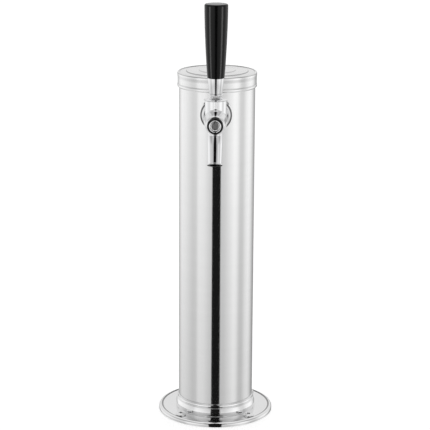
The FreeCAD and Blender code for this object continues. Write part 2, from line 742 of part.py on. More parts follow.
def tap_body():
    """Tap body: barrel, boss for the lever and spout in one casting."""
    neck = BARREL_NECK / 2
    bulge = BARREL_BULGE / 2
    front = BARREL_FRONT_OD / 2
    barrel = along_shank(turned([
        (0, TAP_REAR),
        (THREAD_OD / 2 - SLIP, TAP_REAR, TAP_COLLAR_ROUND),
        (THREAD_OD / 2 - SLIP, TAP_COLLAR_FRONT),
        (neck, TAP_COLLAR_FRONT),
        (neck, COUPLING_FRONT + NECK_STRAIGHT, NECK_ROUND),
        (bulge, LEVER_Y - BULGE_REAR, BULGE_REAR_ROUND),
        (bulge, LEVER_Y + BULGE_FRONT, BULGE_FRONT_ROUND),
        (front, BARREL_END - BARREL_FRONT_STRAIGHT, BARREL_FRONT_ROUND),
        (front, BARREL_END, BARREL_EDGE_ROUND),
        (0, BARREL_END),
    ]))
    boss = at_lever(rod(BOSS_OD, AXIS_Z, BOSS_FACE))
    spout = spout_pipe(SPOUT_BORE / 2 + SPOUT_ROOT_WALL, SPOUT_BORE / 2 + SPOUT_TIP_WALL)
    body = blended(barrel.fuse(boss), barrel, boss, BOSS_BLEND)
    body = blended(body.fuse(spout), barrel, spout, SPOUT_BLEND)
    body = body.fuse(spout_lip()).removeSplitter()
    body = body.cut(along_shank(rod(CHAMBER_DIA, TAP_REAR - OVER, SEAT_PLANE)))
    body = body.cut(along_shank(rod(BARREL_BORE, TAP_REAR - OVER, BARREL_END + OVER)))
    spigot_end = BARREL_END - GUIDE_SPIGOT
    body = body.cut(along_shank(rod(GUIDE_SPIGOT_OD, spigot_end, BARREL_END + OVER)))
    tongue = TONGUE_DIA / 2 / math.cos(FULL_PULL)
    reach = (BALL_RISE - BARREL_BORE / 2) * math.tan(FULL_PULL) + tongue + TONGUE_PLAY
    width = TONGUE_BALL + 2 * TONGUE_PLAY
    body = body.cut(at_lever(slot(width, 2 * reach, AXIS_Z, CUP_SEAT + OVER)))
    ball_low = CUP_SEAT - BALL_CUP_DROP - TONGUE_PLAY
    body = body.cut(at_lever(rod(TONGUE_HOLE, ball_low, CUP_SEAT + OVER)))
    body = body.cut(at_lever(rod(BONNET_SPIGOT_OD + 2 * FIT, CUP_SEAT, BOSS_FACE + OVER)))
    mouth, heading = spout_stations()[-1]
    outlet = Part.makeCylinder(SPOUT_BORE / 2, 2 * OVER, mouth - heading * OVER, heading)
    return body.cut(spout_pipe(SPOUT_BORE / 2, SPOUT_BORE / 2).fuse(outlet))


def nose_guide():
    """Black guide screwed into the barrel's front, round the shaft's nose."""
    bore = NOSE_OD / 2 + FIT
    return along_shank(turned([
        (bore, BARREL_END - GUIDE_SPIGOT),
        (GUIDE_SPIGOT_OD / 2 - FIT, BARREL_END - GUIDE_SPIGOT),
        (GUIDE_SPIGOT_OD / 2 - FIT, BARREL_END),
        (GUIDE_OD / 2, BARREL_END),
        (GUIDE_OD / 2, BARREL_END + GUIDE_HEAD, GUIDE_ROUND),
        (bore, BARREL_END + GUIDE_HEAD, GUIDE_BORE_ROUND),
    ]))


def nose_sleeve():
    """Bright sleeve on the shaft's front end, which slides in the guide."""
    return along_shank(turned([
        (NOSE_BORE / 2, NOSE_TIP - NOSE_LENGTH),
        (NOSE_OD / 2, NOSE_TIP - NOSE_LENGTH, NOSE_REAR_ROUND),
        (NOSE_OD / 2, NOSE_TIP, NOSE_TIP_ROUND),
        (NOSE_BORE / 2, NOSE_TIP, NOSE_BORE_ROUND),
    ]))


def shaft():
    """Sliding shaft: rear stub for the seat washer, pocket for the lever, front end."""
    rear = WASHER_REAR - RETAINER
    body = along_shank(turned([
        (0, rear),
        (SHAFT_STUB / 2, rear, SHAFT_REAR_ROUND),
        (SHAFT_STUB / 2, WASHER_FRONT),
        (SHAFT_DIA / 2, WASHER_FRONT),
        (SHAFT_DIA / 2, NOSE_TIP - NOSE_LENGTH),
        (NOSE_BORE / 2, NOSE_TIP - NOSE_LENGTH),
        (NOSE_BORE / 2, NOSE_TIP - NOSE_RECESS, SHAFT_TIP_ROUND),
        (0, NOSE_TIP - NOSE_RECESS),
    ]))
    half = TONGUE_BALL / 2 + POCKET_PLAY
    floor = BALL_Z - TONGUE_REACH - TONGUE_BALL / 2 - POCKET_ROOM
    pocket = Part.makeBox(SHAFT_DIA, 2 * half, SHAFT_DIA)
    pocket.translate(FreeCAD.Vector(-SHAFT_DIA / 2, -half, floor))
    return body.cut(at_lever(pocket))


def seat_washer():
    """Rubber washer that closes the seat behind the barrel's bore."""
    return along_shank(tube(SEAT_WASHER_OD, SHAFT_STUB, WASHER_REAR, WASHER_FRONT))


def washer_retainer():
    """Small round nut that holds the seat washer on the shaft."""
    inner = SHAFT_STUB / 2 + FIT
    outer = inner + RETAINER_WALL
    return along_shank(turned([
        (inner, WASHER_REAR - RETAINER),
        (outer, WASHER_REAR - RETAINER, RETAINER_ROUND),
        (outer, WASHER_REAR),
        (inner, WASHER_REAR),
    ]))


def ball_cup():
    """Rubber cup under the lever's ball."""
    cup = at_lever(rod(BONNET_SPIGOT_OD - 2 * FIT, CUP_SEAT, CUP_SEAT + BALL_CUP))
    cup = cup.cut(at_lever(rod(TONGUE_HOLE, CUP_SEAT - OVER, BALL_Z)))
    return cup.cut(ball(BALL_DIA / 2 + BALL_GAP))


def friction_ring():
    """Plastic ring between the ball and the bonnet, which sets the lever's drag."""
    ring = at_lever(rod(BONNET_BORE - 2 * FIT, BALL_Z + FRICTION_LOW, BALL_Z + FRICTION_HIGH))
    return ring.cut(ball(BALL_DIA / 2 + BALL_GAP))


def bonnet():
    """Conical bonnet over the ball, screwed into the boss, open for the stem."""
    outer = BONNET_OD / 2
    mouth = outer - BONNET_TOP_INSET - BONNET_MOUTH_FLARE
    neck = math.sqrt((BALL_DIA / 2) ** 2 - FRICTION_HIGH ** 2) + BALL_GAP
    body = turned([
        (BONNET_BORE / 2, BOSS_FACE - BONNET_SPIGOT),
        (BONNET_SPIGOT_OD / 2, BOSS_FACE - BONNET_SPIGOT),
        (BONNET_SPIGOT_OD / 2, BOSS_FACE),
        (outer, BOSS_FACE, BONNET_FOOT_ROUND),
        (outer, BOSS_FACE + BONNET_EDGE, BONNET_EDGE_ROUND),
        (BROW_R, BALL_Z + BROW_RISE, BONNET_BROW_ROUND),
        (mouth, BONNET_TOP, BONNET_MOUTH_ROUND),
        (neck, BALL_Z + FRICTION_HIGH),
        (BONNET_BORE / 2, BALL_Z + FRICTION_HIGH),
    ])
    return at_lever(body)


def ball(radius):
    """Ball at the lever's pivot."""
    return Part.makeSphere(radius, FreeCAD.Vector(0, -LEVER_Y, BALL_Z))


def lever():
    """Lever: threaded stud, stem, ball and the tongue that moves the shaft."""
    stud = at_lever(turned([
        (0, BALL_Z),
        (LEVER_STEM / 2, BALL_Z),
        (LEVER_STEM / 2, COLLAR_FOOT),
        (LEVER_THREAD / 2, COLLAR_FOOT),
        (LEVER_THREAD / 2, STUD_TOP, LEVER_TIP_ROUND),
        (0, STUD_TOP),
    ]))
    tongue = at_lever(rod(TONGUE_DIA, BALL_Z - TONGUE_REACH, BALL_Z))
    tip = Part.makeSphere(TONGUE_BALL / 2, FreeCAD.Vector(0, -LEVER_Y, BALL_Z - TONGUE_REACH))
    return ball(BALL_DIA / 2).fuse([stud, tongue, tip]).removeSplitter()


def lever_collar():
    """Round jam nut on the stud, which locks the handle."""
    thread = LEVER_THREAD / 2 + FIT
    outer = LEVER_COLLAR_OD / 2
    return at_lever(turned([
        (thread, COLLAR_FOOT),
        (outer - LEVER_COLLAR_BEVEL, COLLAR_FOOT, LEVER_COLLAR_FOOT_ROUND),
        (outer, COLLAR_FOOT + LEVER_COLLAR / 2, LEVER_COLLAR_EDGE_ROUND),
        (outer - LEVER_COLLAR_BEVEL, HANDLE_FOOT, LEVER_COLLAR_FOOT_ROUND),
        (thread, HANDLE_FOOT),
    ]))


def handle_ferrule():
    """Bright tapered ferrule at the handle's foot."""
    return at_lever(turned([
        (FERRULE_BORE / 2, HANDLE_FOOT),
        (FERRULE_BORE / 2 + FERRULE_WALL, HANDLE_FOOT, FERRULE_ROUND),
        (FERRULE_TOP_OD / 2, GRIP_FOOT, FERRULE_ROUND),
        (FERRULE_BORE / 2, GRIP_FOOT),
    ]))


def handle_insert():
    """Brass insert in the handle, threaded for the lever's stud."""
    top = STUD_TOP + INSERT_END_ROOM
    body = rod(INSERT_OD, HANDLE_FOOT, GRIP_FOOT + INSERT_BITE)
    return at_lever(body.cut(rod(LEVER_THREAD + 2 * FIT, HANDLE_FOOT - OVER, top)))


def handle_grip():
    """Tapered grip, a little bowed, with a socket for the insert."""
    top = GRIP_FOOT + HANDLE_LENGTH
    shoulder = HANDLE_TOP_OD / 2
    foot = FreeCAD.Vector(HANDLE_FOOT_OD / 2, 0, GRIP_FOOT)
    middle = FreeCAD.Vector(HANDLE_MIDDLE_OD / 2, 0, GRIP_FOOT + HANDLE_MIDDLE_RISE)
    edge = FreeCAD.Vector(shoulder, 0, top - HANDLE_ROUND)
    cut_back = HANDLE_ROUND * (1 - math.sqrt(0.5))
    over = FreeCAD.Vector(shoulder - cut_back, 0, top - cut_back)
    brow = FreeCAD.Vector(shoulder - HANDLE_ROUND, 0, top)
    crown = FreeCAD.Vector(0, 0, top)
    heel = FreeCAD.Vector(0, 0, GRIP_FOOT)
    wire = Part.Wire([
        Part.Arc(foot, middle, edge).toShape(),
        Part.Arc(edge, over, brow).toShape(),
        Part.LineSegment(brow, crown).toShape(),
        Part.LineSegment(crown, heel).toShape(),
        Part.LineSegment(heel, foot).toShape(),
    ])
    body = Part.Face(wire).revolve(FreeCAD.Vector(0, 0, 0), FreeCAD.Vector(0, 0, 1), 360)
    if body.Volume < 0:
        body.reverse()
    socket = rod(INSERT_OD + 2 * FIT, GRIP_FOOT - OVER, GRIP_FOOT + INSERT_BITE)
    return at_lever(body.cut(socket))


PIECES = (
    base_flange,
    base_gasket,
    mounting_screws,
    foot_collar,
    column_tube,
    insulation_sleeve,
    top_cap,
    outer_saddle,
    inner_saddle,
    shank_body,
    shank_jam_nut,
    tail_washer,
    tail_nut,
    tail_elbow,
    coupling_nut,
    tap_gasket,
    tap_body,
    nose_guide,
    nose_sleeve,
    shaft,
    seat_washer,
    washer_retainer,
    ball_cup,
    friction_ring,
    bonnet,
    lever,
    lever_collar,
    handle_ferrule,
    handle_insert,
    handle_grip,
)

os.makedirs("parts", exist_ok=True)
for piece in PIECES:
    piece().exportStep("parts/" + piece.__name__ + ".step")
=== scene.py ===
import json
import math

import bmesh
import bpy
from mathutils import Matrix, Vector

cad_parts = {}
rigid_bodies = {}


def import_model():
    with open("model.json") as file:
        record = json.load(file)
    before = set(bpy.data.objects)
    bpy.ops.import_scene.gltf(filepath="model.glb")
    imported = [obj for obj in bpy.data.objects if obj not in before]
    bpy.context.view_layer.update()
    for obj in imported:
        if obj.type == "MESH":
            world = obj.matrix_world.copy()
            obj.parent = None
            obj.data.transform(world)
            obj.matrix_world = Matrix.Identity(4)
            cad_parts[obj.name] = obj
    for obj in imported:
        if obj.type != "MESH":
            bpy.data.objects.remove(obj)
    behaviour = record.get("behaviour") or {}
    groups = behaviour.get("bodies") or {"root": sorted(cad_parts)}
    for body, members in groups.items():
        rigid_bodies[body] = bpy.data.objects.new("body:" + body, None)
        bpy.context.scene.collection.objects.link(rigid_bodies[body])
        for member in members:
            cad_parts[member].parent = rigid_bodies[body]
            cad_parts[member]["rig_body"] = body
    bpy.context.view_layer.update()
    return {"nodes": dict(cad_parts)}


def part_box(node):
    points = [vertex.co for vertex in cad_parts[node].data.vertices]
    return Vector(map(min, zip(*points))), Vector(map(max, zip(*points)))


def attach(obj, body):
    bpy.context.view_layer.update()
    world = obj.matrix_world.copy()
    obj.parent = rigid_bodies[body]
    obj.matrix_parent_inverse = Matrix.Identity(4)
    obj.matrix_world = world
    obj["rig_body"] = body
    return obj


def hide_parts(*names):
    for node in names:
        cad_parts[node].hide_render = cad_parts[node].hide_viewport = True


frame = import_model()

bl_info = {
    "name": "Beer tower looks",
    "version": (1, 0, 0),
    "blender": (4, 5, 0),
    "location": "3D View > Sidebar > Beer tower",
    "description": "Builds the visible pieces, finishes and stage of a single-tap beer tower",
    "category": "Object",
}

MILLIMETRE = 0.001
# Steps round a turned body, for large ones and for small ones
ROUND_STEPS = 144
SMALL_STEPS = 96
# Edges that bend more than this, in degrees, are shaded sharp
SHARP_BEND = 28.0
# Points of a turned body that are closer than this, in millimetres, are one
SAME_POINT = 0.0005
# Radii and wall in millimetres: the cap and collar slip over the column with this bore
SLIP_BORE = 38.25
TUBE_WALL = 1.2
SHANK_HOLE = 11.8
SCREW_HOLE = 2.75
SCREW_HEAD = 5.5
# Depth of the coupling nut's slots and the length of the bar that cuts them, in millimetres
NOTCH_DEPTH = 1.4
NOTCH_BAR = 3.0
# Place of the lever's upright axis, in metres in front of the column's axis
LEVER_Y = -0.077
# Lean of the spout, and the middle of its mouth in metres
SPOUT_LEAN = math.radians(23)
SPOUT_MOUTH = (0, -0.11082, 0.28482)


def half_width(node):
    """Widest reach of a CAD node to the side, in metres."""
    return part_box(node)[1].x


def height_of(node):
    """Height of the middle of a CAD node, in metres."""
    low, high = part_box(node)
    return (low.z + high.z) / 2


# Sizes and colours that a user would change


class TowerSizes(bpy.types.PropertyGroup):
    """Radii of the visible pieces, taken from the frame."""

    column: bpy.props.FloatProperty(
        name="Column radius",
        description="Outside radius of the column's tube",
        default=half_width("column_tube"),
        unit="LENGTH",
    )
    flange: bpy.props.FloatProperty(
        name="Base radius",
        description="Outside radius of the base plate's rim",
        default=half_width("base_flange"),
        unit="LENGTH",
    )
    cap: bpy.props.FloatProperty(
        name="Cap radius",
        description="Outside radius of the cap at its rounded edges",
        default=half_width("top_cap"),
        unit="LENGTH",
    )
    coupling: bpy.props.FloatProperty(
        name="Coupling radius",
        description="Outside radius of the coupling nut",
        default=half_width("coupling_nut"),
        unit="LENGTH",
    )
    bonnet: bpy.props.FloatProperty(
        name="Bonnet radius",
        description="Outside radius of the bonnet over the lever's ball",
        default=half_width("bonnet"),
        unit="LENGTH",
    )
    grip: bpy.props.FloatProperty(
        name="Grip radius",
        description="Radius of the handle at its top",
        default=half_width("handle_grip"),
        unit="LENGTH",
    )
    screw_cross: bpy.props.FloatProperty(
        name="Screw cross width",
        description="Width of one arm of the cross in a screw's head",
        default=1.5 * MILLIMETRE,
        unit="LENGTH",
    )


class TowerFinishes(bpy.types.PropertyGroup):
    """Colours and surface marks of the visible pieces."""

    brushed: bpy.props.FloatVectorProperty(
        name="Brushed steel",
        description="Colour of the column and the cap",
        default=(0.87, 0.87, 0.87),
        subtype="COLOR",
        min=0,
        max=1,
    )
    polished: bpy.props.FloatVectorProperty(
        name="Polished steel",
        description="Colour of the base and its collar",
        default=(0.87, 0.87, 0.872),
        subtype="COLOR",
        min=0,
        max=1,
    )
    chrome: bpy.props.FloatVectorProperty(
        name="Chrome",
        description="Colour of the plated tap",
        default=(0.88, 0.882, 0.888),
        subtype="COLOR",
        min=0,
        max=1,
    )
    turned: bpy.props.FloatVectorProperty(
        name="Turned steel",
        description="Colour of the plain steel inside the tower",
        default=(0.6, 0.6, 0.6),
        subtype="COLOR",
        min=0,
        max=1,
    )
    grip: bpy.props.FloatVectorProperty(
        name="Grip",
        description="Colour of the gloss black handle",
        default=(0.003, 0.003, 0.003),
        subtype="COLOR",
        min=0,
        max=1,
    )
    guide: bpy.props.FloatVectorProperty(
        name="Guide",
        description="Colour of the black plastic pieces",
        default=(0.012, 0.012, 0.013),
        subtype="COLOR",
        min=0,
        max=1,
    )
    wear: bpy.props.FloatProperty(
        name="Wear",
        description="Strength of the fine scratches and wiping marks",
        default=1.0,
        min=0,
        max=3,
    )


class TowerStage(bpy.types.PropertyGroup):
    """Floor, light and camera."""

    floor: bpy.props.FloatVectorProperty(
        name="Floor",
        description="Colour of the studio floor",
        default=(0.9, 0.9, 0.9),
        subtype="COLOR",
        min=0,
        max=1,
    )
    distance: bpy.props.FloatProperty(
        name="Camera distance",
        description="Distance of the camera from the column's axis, level",
        default=1.6506,
        unit="LENGTH",
    )
    height: bpy.props.FloatProperty(
        name="Camera height",
        description="Height of the camera over the counter",
        default=0.6358,
        unit="LENGTH",
    )
    lens: bpy.props.FloatProperty(
        name="Lens",
        description="Focal length of the camera",
        default=140.06,
        unit="CAMERA",
    )
    pitch: bpy.props.FloatProperty(
        name="Camera pitch",
        description="Angle by which the camera looks down",
        default=math.radians(14.53),
        unit="ROTATION",
        subtype="ANGLE",
    )
    light: bpy.props.FloatProperty(
        name="Surround",
        description="Brightness of the studio's pale screens",
        default=1.04,
        min=0,
        max=2,
    )
    fill: bpy.props.FloatProperty(
        name="Fill",
        description="Brightness of the lights on the front of the tap",
        default=0.8,
        min=0,
    )
    streaks: bpy.props.FloatProperty(
        name="Handle lights",
        description="Power of the two lights that streak the handle",
        default=1.1,
        unit="POWER",
    )


def sizes():
    """The sizes in use."""
    return bpy.context.scene.tower_sizes


def finishes():
    """The colours in use."""
    return bpy.context.scene.tower_finishes


# Shader maths


class Strand:
    """An output of a shader node that can be used in a sum."""

    def __init__(self, finish, socket):
        self.finish = finish
        self.socket = socket

    def worked(self, operation, first, second):
        return self.finish.node(
            "ShaderNodeMath", {"operation": operation}, {0: first, 1: second}
        )

    def __add__(self, other):
        return self.worked("ADD", self, other)

    def __radd__(self, other):
        return self.worked("ADD", other, self)

    def __sub__(self, other):
        return self.worked("SUBTRACT", self, other)

    def __rsub__(self, other):
        return self.worked("SUBTRACT", other, self)

    def __mul__(self, other):
        return self.worked("MULTIPLY", self, other)

    def __truediv__(self, other):
        return self.worked("DIVIDE", self, other)

    def __abs__(self):
        return self.finish.node("ShaderNodeMath", {"operation": "ABSOLUTE"}, {0: self})


class Finish:
    """A material or a world under construction."""

    def __init__(self, owner):
        self.owner = owner
        owner.use_nodes = True
        self.tree = owner.node_tree
        self.tree.nodes.clear()

    def node(self, kind, settings=None, inputs=None, out=0):
        """A node with its settings made first, then its sockets' values or links."""
        made = self.tree.nodes.new(kind)
        for key, value in (settings or {}).items():
            if key == "stops":
                set_ramp(made.color_ramp, value)
            else:
                setattr(made, key, value)
        for key, value in (inputs or {}).items():
            if isinstance(value, Strand):
                self.tree.links.new(value.socket, made.inputs[key])
            else:
                made.inputs[key].default_value = value
        return Strand(self, made.outputs[out]) if made.outputs else None

    def place(self, scale=(1, 1, 1), at=(0, 0, 0), turn=(0, 0, 0)):
        """Object coordinates, measured from a point, then turned and scaled."""
        where = self.node("ShaderNodeTexCoord", out="Object")
        moved = self.node(
            "ShaderNodeVectorMath", {"operation": "SUBTRACT"}, {0: where, 1: at}
        )
        return self.node(
            "ShaderNodeMapping", inputs={"Vector": moved, "Rotation": turn, "Scale": scale}
        )

    def part(self, place, axis):
        """One coordinate of a place."""
        return self.node("ShaderNodeSeparateXYZ", inputs={"Vector": place}, out=axis)

    def measure(self, operation, *places):
        """A number worked out of one place or two, such as a length."""
        return self.node(
            "ShaderNodeVectorMath", {"operation": operation}, dict(enumerate(places)), out="Value"
        )

    def noise(self, place, scale, detail, roughness, distortion=0.0):
        """Soft noise between 0 and 1."""
        return self.node(
            "ShaderNodeTexNoise",
            inputs={
                "Vector": place,
                "Scale": scale,
                "Detail": detail,
                "Roughness": roughness,
                "Distortion": distortion,
            },
            out="Fac",
        )

    def spread(self, value, low, high, new_low=0.0, new_high=1.0):
        """A value's range mapped to another, held at both ends."""
        return self.node(
            "ShaderNodeMapRange",
            inputs={
                "Value": value,
                "From Min": low,
                "From Max": high,
                "To Min": new_low,
                "To Max": new_high,
            },
        )

    def line(self, value, at, width, soft):
        """A band of a value, 1 inside and fading to 0 over a soft edge."""
        return self.spread(abs(value - at), width / 2, width / 2 + soft, 1.0, 0.0)

    def radius(self):
        """Distance from the column's axis, in metres."""
        return self.measure("LENGTH", self.place((1, 1, 0)))

    def height(self):
        """Height over the counter, in metres."""
        return self.part(self.place(), "Z")

    def blend(self, factor, first, second):
        """Two colours mixed by a factor."""
        return self.node(
            "ShaderNodeMix",
            {"data_type": "RGBA"},
            {0: factor, 6: rgba(first), 7: rgba(second)},
            out=2,
        )

    def bump(self, height, strength, depth):
        """A surface raised by a height, in metres at its most."""
        return self.node(
            "ShaderNodeBump",
            inputs={"Height": height, "Strength": strength, "Distance": depth},
        )

    def surface(self, **inputs):
        """The main shader, its constants on its own sockets, wired to the output."""
        named = {key.replace("_", " "): value for key, value in inputs.items()}
        shader = self.node("ShaderNodeBsdfPrincipled", inputs=named)
        self.node("ShaderNodeOutputMaterial", inputs={"Surface": shader})
        return self.owner


def set_ramp(ramp, stops):
    """Give a colour ramp its stops, each a place and a grey level."""
    while len(ramp.elements) < len(stops):
        ramp.elements.new(0.5)
    for element, (_, level) in zip(ramp.elements, stops):
        element.color = (level, level, level, 1)
    for element, (place, _) in zip(ramp.elements, stops):
        element.position = place


def rgba(colour):
    """A colour with its alpha, or a link as it is."""
    return colour if isinstance(colour, Strand) else (*tuple(colour)[:3], 1.0)


def darker(colour, share):
    """A colour taken down to a share of its brightness."""
    return tuple(channel * share for channel in tuple(colour)[:3])


def started(name):
    """A new finish by its name."""
    return Finish(bpy.data.materials.new(name))


def wiping_marks(finish, at=(0, 0, 0)):
    """Faint clouded marks of a cloth, between 0 and 1."""
    wide = finish.noise(finish.place((1, 1, 0.6), at), 26, 3, 0.6, 0.8)
    fine = finish.noise(finish.place(at=at), 160, 2, 0.5, 0.3)
    return finish.spread(wide * 0.7 + fine * 0.3, 0.35, 0.68)


def hair_scratches(finish, scale, turn):
    """A few thin scratches in one direction, between 0 and 1."""
    streaks = finish.noise(finish.place(scale, turn=turn), 1.0, 2, 0.55)
    return finish.spread(streaks, 0.66, 0.74)


def brushed_steel(name="brushed_stainless", painted_shade_lines=()):
    """Stainless steel brushed round the column: blurred up and down, sharp across."""
    finish = started(name)
    look = finishes()
    grain = finish.noise(finish.place((30, 30, 2600)), 1.0, 3, 0.6)
    bands = finish.noise(finish.place((5, 5, 230)), 1.0, 2, 0.5)
    marks = wiping_marks(finish)
    streak = finish.spread(grain * 0.65 + bands * 0.35, 0.3, 0.7)
    tone = finish.blend(streak, darker(look.brushed, 0.95), look.brushed)
    tone = finish.blend(marks * 0.2, tone, darker(look.brushed, 0.93))
    # Each painted shade line darkens a thin band at a radius or a height: painted shade at steps
    # and edges
    for kind, at, width, depth in painted_shade_lines:
        measure = finish.radius() if kind == "radius" else finish.height()
        painted_shade_line = finish.line(measure, at, width, 0.00035)
        tone = finish.blend(painted_shade_line * depth, tone, darker(look.brushed, 0.2))
    rough = 0.1 + streak * 0.03 + marks * (0.025 * look.wear)
    return finish.surface(
        Base_Color=tone,
        Metallic=1.0,
        Roughness=rough,
        Anisotropic=0.85,
        Anisotropic_Rotation=0.25,
        Normal=finish.bump(streak, 0.1, 0.00002),
    )


def polished_steel(name, painted_shade_lines=()):
    """Spun and polished steel with faint rings of the polishing wheel."""
    finish = started(name)
    look = finishes()
    apart = finish.radius()
    rings = finish.node(
        "ShaderNodeTexNoise",
        {"noise_dimensions": "1D"},
        {"W": apart, "Scale": 1500.0},
        out="Fac",
    )
    marks = wiping_marks(finish)
    nicks = hair_scratches(finish, (420, 50, 50), (0, 0, 0.7))
    tone = finish.blend(marks * 0.4, look.polished, darker(look.polished, 0.95))
    # Painted shade lines: thin dark bands at given radii
    for at, width, depth in painted_shade_lines:
        painted_shade_line = finish.line(apart, at, width, 0.0003)
        tone = finish.blend(painted_shade_line * depth, tone, darker(look.polished, 0.2))
    rough = 0.05 + rings * 0.02 + marks * (0.03 * look.wear) + nicks * (0.06 * look.wear)
    waver = finish.noise(finish.place(), 55, 1, 0.5)
    relief = rings * 0.25 + waver + nicks * -0.3
    return finish.surface(
        Base_Color=tone,
        Metallic=1.0,
        Roughness=rough,
        Normal=finish.bump(relief, 0.15, 0.00005),
    )


def chrome_plate(name, at, cut_face=None, edge=None, foot=None):
    """Chrome over brass with the slight waver of a polished casting.

    A cut face is a point and a direction beyond which the plating is black; an edge is
    the radius and front of a rim with a painted shade line; a foot is a painted shade line's
    height.
    """
    finish = started(name)
    look = finishes()
    waver = finish.noise(finish.place(at=at), 120, 1.5, 0.5)
    marks = wiping_marks(finish, at)
    specks = finish.spread(finish.noise(finish.place(at=at), 900, 1, 0.5), 0.7, 0.78)
    tone = finish.blend(marks * 0.35, look.chrome, darker(look.chrome, 0.93))
    tone = finish.blend(specks * 0.25, tone, (0.5, 0.49, 0.46))
    rough = 0.035 + marks * (0.035 * look.wear) + specks * 0.1
    if cut_face:
        mouth, heading = cut_face
        along = finish.measure("DOT_PRODUCT", finish.place(at=mouth), heading)
        # Past the mouth the tip is made black and rougher
        black_past_mouth = finish.spread(along, -0.0004, -0.0001)
        tone = finish.blend(black_past_mouth, tone, (0.012, 0.012, 0.012))
        rough = rough + black_past_mouth * 0.3
    if edge:
        # Painted shade: a dark outline round the rim near its front
        reach, front = edge
        off = finish.measure("LENGTH", finish.place((1, 0, 1), at))
        depth = finish.part(finish.place(), "Y")
        outer = finish.spread(off, reach - 0.0008, reach - 0.0003)
        near = finish.spread(depth, front + 0.0014, front + 0.001)
        tone = finish.blend(outer * near * 0.9, tone, darker(look.chrome, 0.08))
    # Painted shade: a dark line at the given height
    if foot:
        painted_shade_line = finish.line(finish.height(), foot, 0.0004, 0.0003)
        tone = finish.blend(painted_shade_line * 0.6, tone, darker(look.chrome, 0.15))
    return finish.surface(
        Base_Color=tone,
        Metallic=1.0,
        Roughness=rough,
        Normal=finish.bump(waver + specks * -0.1, 0.14, 0.00006),
    )


def turned_steel(name, axis, at, thread_pitch=0.0, bright=1.0, dull=0.28):
    """Plain turned steel; a thread pitch gives it the ridges of a screw thread, toned with
    painted shade.
    """
    finish = started(name)
    look = finishes()
    turn = {"Y": (-math.pi / 2, 0, 0), "Z": (0, 0, 0)}[axis]
    lathe_marks = finish.noise(finish.place((40, 40, 2200), at, turn), 1.0, 2, 0.5)
    marks = wiping_marks(finish, at)
    relief = lathe_marks * 0.3
    tone = finish.blend(marks, darker(look.turned, bright), darker(look.turned, bright * 0.8))
    rough = dull / bright + lathe_marks * 0.08 + marks * 0.08
    depth = 0.00005
    if thread_pitch:
        along = finish.part(finish.place(at=at), axis)
        flank = finish.node(
            "ShaderNodeMath", {"operation": "PINGPONG"}, {0: along, 1: thread_pitch / 2}
        )
        ridge = flank / (thread_pitch / 2)
        relief = ridge + lathe_marks * 0.05
        # Painted shade: the tone darkens along the thread's ridges
        tone = finish.blend(ridge * 0.6, tone, darker(look.turned, 0.55))
        depth = thread_pitch * 0.55
    return finish.surface(
        Base_Color=tone,
        Metallic=1.0,
        Roughness=rough,
        Normal=finish.bump(relief, 0.8 if thread_pitch else 0.25, depth),
    )


def screw_steel():
    """Stainless screws, bright on the crown, with painted shade dark in the cross."""
    finish = started("screw_stainless")
    look = finishes()
    marks = wiping_marks(finish)
    pits = finish.noise(finish.place(), 1400, 2, 0.5)
    reach = screw_places()[0][0] * MILLIMETRE
    folded = finish.node(
        "ShaderNodeVectorMath", {"operation": "ABSOLUTE"}, {0: finish.place((1, 1, 0))}
    )
    apart = finish.measure("DISTANCE", folded, (reach, reach, 0))
    # Painted shade: the cross recess darkened
    painted_cross_shade = finish.spread(finish.height(), 0.0064, 0.00655, 1.0, 0.0)
    painted_cross_shade = painted_cross_shade * finish.spread(apart, 0.00275, 0.0029, 1.0, 0.0)
    tone = finish.blend(marks * 0.4, darker(look.polished, 0.97), darker(look.polished, 0.8))
    tone = finish.blend(painted_cross_shade, tone, darker(look.polished, 0.06))
    return finish.surface(
        Base_Color=tone,
        Metallic=1.0,
        Roughness=0.14 + pits * 0.08 + marks * (0.06 * look.wear),
        Normal=finish.bump(pits, 0.12, 0.00004),
    )


def gloss_black():
    """Black moulded grip with a hard gloss and faint hairlines from wiping."""
    finish = started("gloss_black_grip")
    look = finishes()
    at = (0, LEVER_Y, 0.4)
    marks = wiping_marks(finish, at)
    waver = finish.noise(finish.place(at=at), 70, 1, 0.5)
    nicks = hair_scratches(finish, (700, 700, 30), (0.15, 0.3, 0))
    tone = finish.blend(marks * 0.5, look.grip, (0.006, 0.006, 0.006))
    rough = 0.12 + marks * (0.05 * look.wear) + nicks * (0.1 * look.wear)
    return finish.surface(
        Base_Color=tone,
        Roughness=rough,
        IOR=1.3,
        Normal=finish.bump(waver + nicks * -0.05, 0.1, 0.0001),
    )


def moulded(name, colour, roughness, grain=900, depth=0.00004, at=(0, 0, 0)):
    """Moulded plastic or rubber with a fine grain and a little handling."""
    finish = started(name)
    skin = finish.noise(finish.place(at=at), grain, 3, 0.6)
    clouds = finish.noise(finish.place(at=at), 60, 2, 0.5)
    tone = finish.blend(finish.spread(clouds, 0.35, 0.7), colour, darker(colour, 0.78))
    rough = roughness + (skin - 0.5) * 0.12 + (clouds - 0.5) * 0.1
    return finish.surface(
        Base_Color=tone, Roughness=rough, Normal=finish.bump(skin, 0.5, depth)
    )


def foam():
    """Grey closed-cell foam round the beer line."""
    finish = started("closed_cell_foam")
    cells = finish.node(
        "ShaderNodeTexVoronoi",
        {"feature": "F1"},
        {"Vector": finish.place(), "Scale": 700.0},
        out="Distance",
    )
    clouds = finish.noise(finish.place(), 40, 2, 0.5)
    shade = finish.spread(cells, 0.0, 0.7)
    tone = finish.blend(shade, (0.34, 0.34, 0.35), (0.23, 0.23, 0.24))
    tone = finish.blend(clouds * 0.4, tone, (0.28, 0.27, 0.26))
    return finish.surface(
        Base_Color=tone, Roughness=0.8 + clouds * 0.12, Normal=finish.bump(shade, 0.7, 0.0004)
    )


